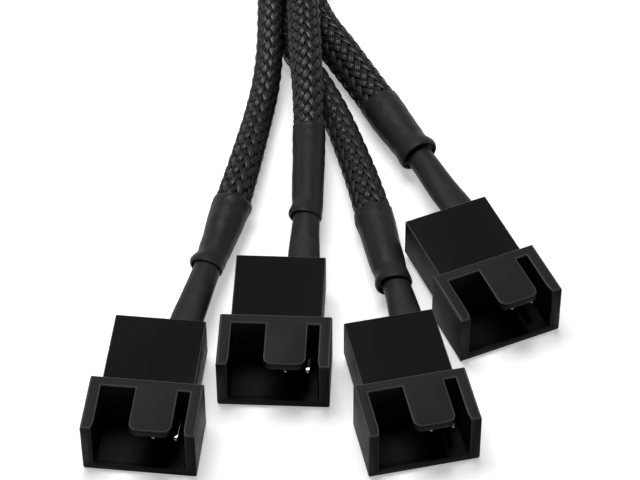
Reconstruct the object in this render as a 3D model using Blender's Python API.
"""Fan splitter cable: four shrouded male fan sockets on short braided leads, which join in
one heat-shrunk boot and go on as a single braided trunk to a female fan plug.

Metres, +Z up. The four sockets lie on z = 0 with their mouths towards -Y, as on a table.
The origin is under the middle of the four sockets.
"""

import math

import bmesh
import bpy
import numpy as np
from mathutils import Matrix, Vector

# Contacts: both connectors share the pitch, and two of the four ways hold a wire
pitch = 0.00254
pin_thickness = 0.00064
pin_reach = 0.0042
pin_point_length = 0.0005
pin_clearance = 0.00008
contact_height = 0.00345

# Socket housing, in its own frame: x across, y from the mouth to the cable, z up
shroud_width = 0.0129
shroud_length = 0.0077
shroud_height = 0.0070
body_width = 0.0105
body_bottom = 0.00085
body_top = 0.0060
housing_length = 0.0179
cavity_width = 0.0101
cavity_depth = 0.0064
mouth_flare = 0.0002
mouth_flare_depth = 0.0011
floor_wall = 0.0010
web_wall = 0.0019

# The tab in the shroud's open top, which keys the plug's two ribs
tab_width = 0.0048
tab_thickness = 0.00105
tab_setback = 0.0003
tab_corner = 0.0010

# Wire chambers behind the web, and the window under each for the contact's lance
chamber_width = 0.0021
chamber_height = 0.0027
window_width = 0.0012
window_start = 0.0013
window_length = 0.0023

# Crimp contact, measured back from the web
contact_width = 0.0017
contact_depth = 0.0021
contact_box_length = 0.0037
contact_neck = 0.0009
contact_neck_length = 0.0006
crimp_thickness = 0.0014
crimp_length = 0.0024
lance_width = 0.0007
lance_length = 0.0017
lance_drop = 0.0007

# Insulated wire ends inside the housings
wire_diameter = 0.0013

# Plug housing, in its own frame: x across, y from the mating face to the cable, z up
plug_fit = 0.0002
plug_height = 0.0048
plug_length = 0.0138
plug_front_wall = 0.0018
plug_entry = 0.0010
plug_chamber_width = 0.0020
plug_chamber_height = 0.0026
plug_floor_wall = 0.0011
rib_width = 0.0010
rib_height = 0.0010
rib_setback = 0.0008
plug_socket_depth = 0.0042

# Cords and the heat-shrunk tubes on them
sleeve_diameter = 0.0038
trunk_diameter = 0.0050
inner_tube_diameter = 0.0031
inner_tube_height_at_housing = 0.0023
collar_step = 0.0001
shoulder_length = 0.0009
boot_wall = 0.0005
boot_length = 0.0260
boot_taper = 0.0090
lead_spacing = 0.0041

# Cable tie on the folded trunk
tie_width = 0.0026
tie_thickness = 0.0010
tie_clearance = 0.0004
tie_head_width = 0.0046
tie_head_length = 0.0044
tie_head_height = 0.0030
tie_tail_length = 0.0040

# Gap between pieces that meet face to face, and lift of a cord off the floor
joint_gap = 0.0003
floor_gap = 0.00005

# Sockets: x, y and turn in degrees of each mouth's middle
sockets = (
    (-0.02090, -0.01808, -6.4),
    (-0.00604, -0.00851, -2.8),
    (0.01092, -0.01765, 12.1),
    (0.02139, 0.00049, 23.3),
)

# Tubes on each lead: bare length of the inner tube, length of the collar, and the collar's
# width at its wire end, as a share of the sleeve's diameter
lead_tubes = (
    (0.0107, 0.0117, 0.96),
    (0.0083, 0.0155, 0.96),
    (0.0066, 0.0128, 1.02),
    (0.0116, 0.0111, 1.18),
)

# How far each braid swells or draws tight, as shares of the sleeve's diameter, at even steps
# from its collar to the boot
braid_swell = (
    (1.17, 1.00, 0.91, 0.91, 0.97),
    (1.01, 1.12, 1.13, 1.07, 1.00),
    (1.17, 1.00, 0.97, 0.97, 0.97),
    (1.25, 1.29, 1.20, 1.05, 1.00),
)

# Points of each lead between its socket and the bundle in front of the boot
lead_points = (
    (
        (-0.0152, 0.0052, 0.0032), (-0.0141, 0.0098, 0.0028), (-0.0128, 0.0150, 0.0024),
        (-0.0114, 0.0206, 0.0024), (-0.0102, 0.0262, 0.0023), (-0.0091, 0.0320, 0.0021),
        (-0.0081, 0.0374, 0.0021), (-0.0073, 0.0423, 0.0026), (-0.00685, 0.0473, 0.0037),
        (-0.00675, 0.0525, 0.0051), (-0.0067, 0.0590, 0.0058), (-0.0064, 0.0690, 0.0069),
    ),
    (
        (-0.0024, 0.0148, 0.00335), (-0.0021, 0.0203, 0.00325), (-0.00195, 0.0265, 0.00325),
        (-0.0019, 0.0328, 0.0036), (-0.0020, 0.0382, 0.0049), (-0.00225, 0.0434, 0.0060),
        (-0.0025, 0.0485, 0.0065), (-0.0027, 0.0540, 0.0068), (-0.0026, 0.0605, 0.0069),
        (-0.0021, 0.0700, 0.0072),
    ),
    (
        (0.0086, 0.0060, 0.0031), (0.0074, 0.0110, 0.00265), (0.0063, 0.0170, 0.00245),
        (0.0051, 0.0232, 0.0023), (0.0037, 0.0292, 0.00205), (0.00175, 0.0362, 0.00197),
        (-0.0005, 0.0422, 0.00195), (-0.0033, 0.0484, 0.00193), (-0.0056, 0.0540, 0.00193),
        (-0.0066, 0.0605, 0.00197), (-0.0064, 0.0685, 0.0025),
    ),
    (
        (0.0142, 0.0231, 0.0032), (0.0120, 0.0281, 0.0029), (0.0094, 0.0334, 0.00265),
        (0.0070, 0.0384, 0.00258), (0.0044, 0.0436, 0.00256), (0.0018, 0.0488, 0.00253),
        (-0.0006, 0.0538, 0.00245), (-0.0020, 0.0590, 0.0023), (-0.0022, 0.0655, 0.0024),
        (-0.0019, 0.0715, 0.0029),
    ),
)

# Boot: middle of its mouth in x and y
boot_x = -0.0039
boot_y = 0.0785

# Points of the trunk between the boot and the plug: through the tie, round the fold, and
# back through the tie
trunk_points = (
    (-0.0039, 0.1090, 0.0051), (-0.0038, 0.1142, 0.0043), (-0.0038, 0.1195, 0.00395),
    (-0.0039, 0.1250, 0.0036), (-0.0060, 0.1332, 0.0028), (-0.0105, 0.1415, 0.00256),
    (-0.0146, 0.1505, 0.00256), (-0.0162, 0.1600, 0.00256), (-0.0132, 0.1695, 0.00256),
    (-0.0056, 0.1755, 0.00256), (0.0040, 0.1763, 0.00256), (0.0119, 0.1710, 0.00256),
    (0.0154, 0.1620, 0.00256), (0.0146, 0.1520, 0.00256), (0.0108, 0.1430, 0.00256),
    (0.0060, 0.1345, 0.0028), (0.0024, 0.1255, 0.0036), (0.0019, 0.1195, 0.00395),
    (0.0019, 0.1140, 0.0036), (0.0033, 0.1070, 0.0031), (0.0062, 0.0985, 0.00295),
    (0.0086, 0.0900, 0.0028),
)
tie_x = -0.00095
tie_y = 0.1195
tie_run_spacing = 0.0057

# Plug: x and y of the middle of its mating face, and the lengths of the tubes behind it
plug_x = 0.01174
plug_y = 0.0655
plug_inner_tube_length = 0.0110
plug_collar_length = 0.0140


def material(name, shade, roughness, metallic=0.0):
    """Principled material of one grey shade, 0 to 1 in linear light"""
    finish = bpy.data.materials.new(name)
    finish.use_nodes = True
    shader = finish.node_tree.nodes["Principled BSDF"]
    shader.inputs["Base Color"].default_value = (shade, shade, shade, 1.0)
    shader.inputs["Roughness"].default_value = roughness
    shader.inputs["Metallic"].default_value = metallic
    return finish


def mesh_from(name, build):
    """New mesh filled by a function that takes a bmesh"""
    bm = bmesh.new()
    build(bm)
    bmesh.ops.recalc_face_normals(bm, faces=bm.faces)
    mesh = bpy.data.meshes.new(name)
    bm.to_mesh(mesh)
    bm.free()
    return mesh


def add_object(name, data, finish=None, parent=None):
    """Put a mesh or curve in the scene, with its material and its parent"""
    obj = bpy.data.objects.new(name, data)
    bpy.context.scene.collection.objects.link(obj)
    obj.parent = parent
    if finish and not data.materials:
        data.materials.append(finish)
    return obj


def smooth(mesh, degrees=35.0):
    """Shade a round piece smooth, with its steeper edges left sharp"""
    mesh.shade_smooth()
    mesh.set_sharp_from_angle(angle=math.radians(degrees))
    return mesh


def loft(bm, rings):
    """Closed solid through rings of points, with flat ends"""
    rows = [[bm.verts.new(point) for point in ring] for ring in rings]
    count = len(rows[0])
    for near, far in zip(rows, rows[1:]):
        for i in range(count):
            j = (i + 1) % count
            bm.faces.new((near[i], near[j], far[j], far[i]))
    bm.faces.new(rows[0][::-1])
    bm.faces.new(rows[-1])


def block(bm, low, high):
    """Box between two corners"""
    rings = []
    for y in (low[1], high[1]):
        rings.append([
            (low[0], y, low[2]), (high[0], y, low[2]), (high[0], y, high[2]), (low[0], y, high[2]),
        ])
    loft(bm, rings)


def square_ring(x, y, z, half_width, half_height):
    """Four corners of a rectangle that faces along y"""
    return [
        (x - half_width, y, z - half_height), (x + half_width, y, z - half_height),
        (x + half_width, y, z + half_height), (x - half_width, y, z + half_height),
    ]


def combined(name, base, joins=(), cuts=()):
    """Mesh of a base solid with other solids joined to it, and then others cut from it"""
    tools = [(build, "UNION") for build in joins] + [(build, "DIFFERENCE") for build in cuts]
    body = add_object(name + "_base", mesh_from(name + "_base", base))
    cutters = []
    for number, (build, operation) in enumerate(tools):
        label = f"{name}_tool_{number}"
        cutter = add_object(label, mesh_from(label, build))
        cutter.hide_render = True
        cutter.display_type = "WIRE"
        step = body.modifiers.new(label, "BOOLEAN")
        step.operation = operation
        step.solver = "EXACT"
        step.object = cutter
        cutters.append(cutter)
    depsgraph = bpy.context.evaluated_depsgraph_get()
    mesh = bpy.data.meshes.new_from_object(body.evaluated_get(depsgraph))
    mesh.name = name
    for used in (body, *cutters):
        bpy.data.objects.remove(used)
    return mesh


def way_positions():
    """Middle of each of the four ways, across the housing"""
    return [pitch * (way - 1.5) for way in range(4)]


def arc(x, y, radius, start, stop, steps=5):
    """Plan points on part of a circle, its angles in degrees"""
    angles = [math.radians(start + (stop - start) * step / steps) for step in range(steps + 1)]
    return [(x + radius * math.cos(angle), y + radius * math.sin(angle)) for angle in angles]


def socket_housing_mesh():
    """Shroud with its open top and keying tab, and the narrower body with four chambers"""
    tab_x = pitch / 2
    web_back = cavity_depth + web_wall

    def shroud(bm):
        block(bm, (-shroud_width / 2, 0, 0), (shroud_width / 2, shroud_length, shroud_height))

    def body(bm):
        block(bm, (-body_width / 2, cavity_depth, body_bottom),
              (body_width / 2, housing_length, body_top))

    def tab(bm):
        left, right = tab_x - tab_width / 2, tab_x + tab_width / 2
        front = tab_setback + tab_corner
        outline = arc(left + tab_corner, front, tab_corner, 180, 270)
        outline += arc(right - tab_corner, front, tab_corner, 270, 360)
        outline += [(right, shroud_length), (left, shroud_length)]
        loft(bm, [[(x, y, z) for x, y in outline]
                  for z in (shroud_height - tab_thickness, shroud_height)])

    def cavity(bm):
        rings = []
        for y, flare in ((-shroud_length, 1), (0, 1), (mouth_flare_depth, 0), (cavity_depth, 0)):
            half = cavity_width / 2 + mouth_flare * flare
            rings.append([(-half, y, floor_wall), (half, y, floor_wall),
                          (half, y, 2 * shroud_height), (-half, y, 2 * shroud_height)])
        loft(bm, rings)

    def chambers(bm):
        hole = pin_thickness / 2 + pin_clearance
        for x in way_positions():
            loft(bm, [
                square_ring(x, cavity_depth - web_wall / 2, contact_height, hole, hole),
                square_ring(x, web_back, contact_height, hole, hole),
                square_ring(x, web_back, contact_height, chamber_width / 2, chamber_height / 2),
                square_ring(x, housing_length + web_wall, contact_height,
                            chamber_width / 2, chamber_height / 2),
            ])

    def windows(bm):
        for x in way_positions():
            block(bm, (x - window_width / 2, web_back + window_start, body_bottom - floor_wall),
                  (x + window_width / 2, web_back + window_start + window_length, contact_height))

    hollow = combined("socket_shell", shroud, joins=(body,), cuts=(cavity,))

    def shell(bm):
        bm.from_mesh(hollow)

    return combined("socket_housing", shell, joins=(tab,), cuts=(chambers, windows))


def contact_mesh(name, x, seat, front_rings, socket_depth=0.0):
    """Crimp contact whose box sits against the wall at y = seat, with its lance below"""
    box_front = seat + joint_gap
    box_back = box_front + contact_box_length
    crimp_front = box_back + contact_neck_length
    bottom = contact_height - contact_depth / 2

    def metal(bm):
        rings = list(front_rings)
        for y, width, depth in (
            (box_front, contact_width, contact_depth),
            (box_back, contact_width, contact_depth),
            (box_back, contact_neck, contact_neck),
            (crimp_front, contact_neck, contact_neck),
            (crimp_front, crimp_thickness, crimp_thickness),
            (crimp_front + crimp_length, crimp_thickness, crimp_thickness),
        ):
            rings.append(square_ring(x, y, contact_height, width / 2, depth / 2))
        loft(bm, rings)

    def lance(bm):
        front = seat + window_start + joint_gap
        profile = ((front, bottom + lance_drop), (front, bottom),
                   (front + lance_length, bottom - lance_drop),
                   (front + lance_length, bottom + lance_drop))
        loft(bm, [[(x + side * lance_width / 2, y, z) for y, z in profile] for side in (-1, 1)])

    def mouth(bm):
        half = pin_thickness / 2 + pin_clearance
        block(bm, (x - half, 0, contact_height - half),
              (x + half, box_front + socket_depth, contact_height + half))

    return combined(name, metal, joins=(lance,), cuts=(mouth,) if socket_depth else ())


def pin_mesh(name, x):
    """Square pin with a pointed end, in one piece with its crimp contact"""
    tip = cavity_depth - pin_reach
    half = pin_thickness / 2
    seat = cavity_depth + web_wall
    front = [
        square_ring(x, tip, contact_height, half / 2, half / 2),
        square_ring(x, tip + pin_point_length, contact_height, half, half),
        square_ring(x, seat + joint_gap, contact_height, half, half),
    ]
    return contact_mesh(name, x, seat, front)


def crimp_end(seat):
    """Where a contact's crimp ends, behind the wall it sits against"""
    return seat + joint_gap + contact_box_length + contact_neck_length + crimp_length


def wire_mesh(name, x, z, start, stop):
    """Short insulated wire end along y"""
    sides = 12
    rings = []
    for y in (start, stop):
        rings.append([
            (x + wire_diameter / 2 * math.cos(2 * math.pi * i / sides), y,
             z + wire_diameter / 2 * math.sin(2 * math.pi * i / sides))
            for i in range(sides)
        ])
    return smooth(mesh_from(name, lambda bm: loft(bm, rings)))


class Route:
    """Smooth curve through chosen points, read by its length from the start"""

    def __init__(self, points):
        ends = [2 * Vector(points[0]) - Vector(points[1]), 2 * Vector(points[-1]) - Vector(points[-2])]
        knots = [np.array(point) for point in (ends[0], *points, ends[1])]
        samples = []
        for a, b, c, d in zip(knots, knots[1:], knots[2:], knots[3:]):
            for t in np.linspace(0, 1, 40, endpoint=False):
                samples.append(0.5 * (2 * b + (c - a) * t + (2 * a - 5 * b + 4 * c - d) * t ** 2
                                      + (3 * b - a - 3 * c + d) * t ** 3))
        samples.append(knots[-2])
        self.samples = np.array(samples)
        steps = np.linalg.norm(np.diff(self.samples, axis=0), axis=1)
        self.marks = np.concatenate([[0.0], np.cumsum(steps)])
        self.length = float(self.marks[-1])

    def at(self, s):
        """Point at a length along the curve"""
        return Vector([float(np.interp(s, self.marks, self.samples[:, i])) for i in range(3)])

    def heading(self, s):
        """Direction of travel at a length along the curve"""
        step = 0.0004
        return (self.at(min(s + step, self.length)) - self.at(max(s - step, 0))).normalized()


def tube_mesh(name, route, start, stop, sizes, sides=16):
    """Solid tube along part of a route; sizes maps 0 to 1 along it to half width and height"""
    length = stop - start
    rings = []
    for s, (half_width, half_height) in sizes(length):
        centre = route.at(start + s)
        forward = route.heading(start + s)
        side = forward.cross(Vector((0, 0, 1))).normalized()
        up = side.cross(forward)
        rings.append([
            centre + side * half_width * math.cos(2 * math.pi * i / sides)
            + up * half_height * math.sin(2 * math.pi * i / sides)
            for i in range(sides)
        ])
    return smooth(mesh_from(name, lambda bm: loft(bm, rings)))


def inner_tube_sizes(reverse=False):
    """Oval over the two wires at the housing, round where the collar takes it"""
    wide = pitch / 2 + wire_diameter / 2
    low = inner_tube_height_at_housing / 2
    round_half = inner_tube_diameter / 2

    def sizes(length):
        steps = 8
        rows = []
        for step in range(steps + 1):
            share = step / steps
            blend = 1 - share if reverse else share
            blend = blend * blend * (3 - 2 * blend)
            rows.append((length * share, (wide + (round_half - wide) * blend,
                                          low + (round_half - low) * blend)))
        return rows
    return sizes


def collar_sizes(first, last):
    """Tube between two end radii, with a rounded shoulder at each end"""
    def sizes(length):
        def radius_at(s):
            return first + (last - first) * s / length

        places = []
        for turn in (0, 30, 60, 90):
            angle = math.radians(turn)
            places.append((shoulder_length * (1 - math.cos(angle)),
                           shoulder_length / 2 * (1 - math.sin(angle))))
        middle = length - 2 * shoulder_length
        inside = [(shoulder_length + middle * step / 5, 0.0) for step in range(1, 5)]
        places = places + inside + [(length - s, drop) for s, drop in places[::-1]]
        return [(s, (radius_at(s) - drop, radius_at(s) - drop)) for s, drop in places]
    return sizes


def boot_sizes(mouth, neck):
    """Wide over the joined leads, then tapered down onto the trunk"""
    def sizes(length):
        rows = [(0, mouth - shoulder_length / 2), (shoulder_length, mouth)]
        taper_start = length - 2 * boot_taper
        steps = 8
        for step in range(steps + 1):
            share = step / steps
            ease = share * share * (3 - 2 * share)
            rows.append((taper_start + boot_taper * share, mouth + (neck - mouth) * ease))
        rows.append((length - shoulder_length, neck))
        rows.append((length, neck - shoulder_length / 2))
        return [(s, (radius, radius)) for s, radius in rows]
    return sizes


def sleeve_curve(name, route, start, stop, diameter, bevel_resolution, swell=(1.0, 1.0)):
    """Braided sleeve as a round tube along part of a route; swell is its width at even steps"""
    curve = bpy.data.curves.new(name, "CURVE")
    curve.dimensions = "3D"
    curve.bevel_depth = diameter / 2
    curve.bevel_resolution = bevel_resolution
    curve.use_fill_caps = True
    spline = curve.splines.new("POLY")
    count = max(2, round((stop - start) / (2 * diameter))) + 1
    spline.points.add(count - 1)
    for i in range(count):
        share = i / (count - 1)
        point = route.at(start + (stop - start) * share)
        spline.points[i].co = (*point, 1.0)
        spline.points[i].radius = float(np.interp(share, np.linspace(0, 1, len(swell)), swell))
    return curve


def socket_frame(x, y, turn):
    """Place of a socket in the cable's frame"""
    return Matrix.Translation((x, y, 0)) @ Matrix.Rotation(math.radians(turn), 4, "Z")


def lead_route(place, points, boot_spot):
    """Lead from the back of its socket, straight out, and straight into the boot"""
    cable_x = pitch
    exit_point = place @ Vector((cable_x, housing_length + joint_gap, contact_height))
    straight = place @ Vector((cable_x, housing_length + joint_gap + inner_tube_diameter / 2,
                               contact_height))
    last = Vector(boot_spot)
    before = last - Vector((0, sleeve_diameter / 2, 0))
    return Route([exit_point, straight, *points, before, last])


def add_sockets_and_leads(finishes, boot_radius):
    """Four sockets with their contacts, and a lead from each to the boot"""
    housing = socket_housing_mesh()
    seat = cavity_depth + web_wall
    ways = (("ground", 1.5 * pitch), ("power", 0.5 * pitch))
    pins = {way: pin_mesh(f"pin_{way}", x) for way, x in ways}
    wires = {
        way: wire_mesh(f"wire_{way}", x, contact_height, crimp_end(seat) + joint_gap, housing_length)
        for way, x in ways
    }
    offsets = ((-1, 1), (1, 1), (-1, -1), (1, -1))
    for number, socket, tubes, swell, points, (side, level) in zip(
            range(1, 5), sockets, lead_tubes, braid_swell, lead_points, offsets):
        x, y, turn = socket
        inner_length, collar_length, collar_share = tubes
        anchor = add_object(f"socket_{number}", None)
        anchor.location = (x, y, 0)
        anchor.rotation_euler = (0, 0, math.radians(turn))
        add_object(f"socket_housing_{number}", housing, finishes["nylon"], anchor)
        for way, _ in ways:
            add_object(f"pin_{way}_{number}", pins[way], finishes["tin"], anchor)
            add_object(f"wire_{way}_{number}", wires[way], finishes["insulation"], anchor)
        spot = (boot_x + side * lead_spacing / 2, boot_y - joint_gap,
                boot_radius + floor_gap + level * lead_spacing / 2)
        route = lead_route(socket_frame(x, y, turn), points, spot)
        add_object(f"inner_tube_{number}",
                   tube_mesh(f"inner_tube_{number}", route, 0, inner_length, inner_tube_sizes()),
                   finishes["shrink"])
        collar_start = inner_length + joint_gap
        collar_end = collar_start + collar_length
        wire_end = sleeve_diameter * collar_share / 2
        sleeve_end = sleeve_diameter * swell[0] / 2 + collar_step
        add_object(f"collar_{number}",
                   tube_mesh(f"collar_{number}", route, collar_start, collar_end,
                             collar_sizes(wire_end, sleeve_end)),
                   finishes["shrink"])
        add_object(f"lead_sleeve_{number}",
                   sleeve_curve(f"lead_sleeve_{number}", route, collar_end + joint_gap,
                                route.length, sleeve_diameter, 2, swell),
                   finishes["braid"])


def add_boot(finishes, radius):
    """Heat-shrunk boot where the four leads become the trunk"""
    height = radius + floor_gap
    route = Route([(boot_x, boot_y, height), (boot_x, boot_y + boot_length / 2, height),
                   (boot_x, boot_y + boot_length, height)])
    sizes = boot_sizes(radius, trunk_diameter / 2 + boot_wall)
    add_object("junction_boot",
               tube_mesh("junction_boot", route, 0, boot_length, sizes, sides=24),
               finishes["shrink"])


def add_tie(finishes):
    """Cable tie round both runs of the folded trunk"""
    inner_radius = trunk_diameter / 2 + tie_clearance
    outer_radius = inner_radius + tie_thickness
    height = outer_radius + floor_gap
    half_run = tie_run_spacing / 2

    def stadium(bm, radius, half_width):
        right = [(half_run + x, z) for x, z in arc(0, 0, radius, -90, 90, 12)]
        outline = right + [(-x, -z) for x, z in right]
        loft(bm, [[(tie_x + x, tie_y + y, height + z) for x, z in outline]
                  for y in (-half_width, half_width)])

    def band(bm):
        stadium(bm, outer_radius, tie_width / 2)

    def head(bm):
        block(bm, (tie_x - tie_head_width / 2, tie_y - tie_head_length / 2, height + inner_radius / 2),
              (tie_x + tie_head_width / 2, tie_y + tie_head_length / 2,
               height + inner_radius + tie_head_height))

    def tail(bm):
        low = height + inner_radius + tie_thickness
        block(bm, (tie_x, tie_y - tie_width / 2, low + tie_thickness / 2),
              (tie_x + tie_head_width / 2 + tie_tail_length, tie_y + tie_width / 2,
               low + 1.5 * tie_thickness))

    def opening(bm):
        stadium(bm, inner_radius, tie_head_length)

    mesh = combined("hank_tie", band, joins=(head, tail), cuts=(opening,))
    add_object("hank_tie", smooth(mesh), finishes["tie"])


def plug_housing_mesh():
    """Female housing with four ways and two ribs, one on each side of the socket's tab"""
    width = cavity_width - plug_fit
    height = plug_floor_wall + plug_chamber_height / 2

    def body(bm):
        block(bm, (-width / 2, 0, 0), (width / 2, plug_length, plug_height))

    def ribs(bm):
        rib_space = tab_width + plug_fit
        for side in (-1, 1):
            x = -pitch / 2 + side * (rib_space + rib_width) / 2
            block(bm, (x - rib_width / 2, rib_setback, plug_height / 2),
                  (x + rib_width / 2, cavity_depth, plug_height + rib_height))

    def chambers(bm):
        for x in way_positions():
            loft(bm, [
                square_ring(x, -plug_front_wall, height, plug_entry / 2, plug_entry / 2),
                square_ring(x, plug_front_wall, height, plug_entry / 2, plug_entry / 2),
                square_ring(x, plug_front_wall, height, plug_chamber_width / 2, plug_chamber_height / 2),
                square_ring(x, plug_length + plug_front_wall, height,
                            plug_chamber_width / 2, plug_chamber_height / 2),
            ])

    def windows(bm):
        for x in way_positions():
            start = plug_front_wall + window_start
            block(bm, (x - window_width / 2, start, -floor_wall),
                  (x + window_width / 2, start + window_length, height))

    return combined("plug_housing", body, joins=(ribs,), cuts=(chambers, windows))


def add_plug(finishes, route):
    """Female plug, its two contacts, and the tubes on the trunk's end behind it"""
    anchor = add_object("plug", None)
    anchor.location = (plug_x, plug_y, 0)
    add_object("plug_housing", plug_housing_mesh(), finishes["nylon"], anchor)
    height = plug_floor_wall + plug_chamber_height / 2
    for way, x in (("ground", -1.5 * pitch), ("power", -0.5 * pitch)):
        mesh = contact_mesh(f"plug_contact_{way}", x, plug_front_wall, (), plug_socket_depth)
        contact = add_object(f"plug_contact_{way}", mesh, finishes["tin"], anchor)
        contact.location = (0, 0, height - contact_height)
        start = crimp_end(plug_front_wall) + joint_gap
        add_object(f"plug_wire_{way}",
                   wire_mesh(f"plug_wire_{way}", x, height, start, plug_length),
                   finishes["insulation"], anchor)
    tube_start = route.length - plug_inner_tube_length
    add_object("plug_inner_tube",
               tube_mesh("plug_inner_tube", route, tube_start, route.length,
                         inner_tube_sizes(reverse=True)),
               finishes["shrink"])
    collar_end = tube_start - joint_gap
    add_object("plug_collar",
               tube_mesh("plug_collar", route, collar_end - plug_collar_length, collar_end,
                         collar_sizes(trunk_diameter / 2 + collar_step, trunk_diameter / 2)),
               finishes["shrink"])
    return collar_end - plug_collar_length - joint_gap


def build_cable():
    """The whole splitter cable"""
    for obj in list(bpy.data.objects):
        bpy.data.objects.remove(obj)
    finishes = {
        "nylon": material("black_nylon", 0.012, 0.42),
        "tin": material("tin_plated_bronze", 0.62, 0.22, 1.0),
        "insulation": material("black_pvc", 0.010, 0.5),
        "shrink": material("black_heat_shrink", 0.018, 0.55),
        "braid": material("black_braid", 0.014, 0.5),
        "tie": material("black_tie_nylon", 0.010, 0.4),
    }
    boot_radius = lead_spacing / math.sqrt(2) + sleeve_diameter / 2 + boot_wall
    add_sockets_and_leads(finishes, boot_radius)
    add_boot(finishes, boot_radius)
    height = plug_floor_wall + plug_chamber_height / 2
    plug_back = Vector((plug_x - pitch, plug_y + plug_length + joint_gap, height))
    route = Route([
        (boot_x, boot_y + boot_length + joint_gap, boot_radius + floor_gap),
        *trunk_points,
        plug_back + Vector((0, inner_tube_diameter / 2, 0)),
        plug_back,
    ])
    sleeve_end = add_plug(finishes, route)
    add_object("trunk_sleeve",
               sleeve_curve("trunk_sleeve", route, 0, sleeve_end, trunk_diameter, 3),
               finishes["braid"])
    add_tie(finishes)


build_cable()
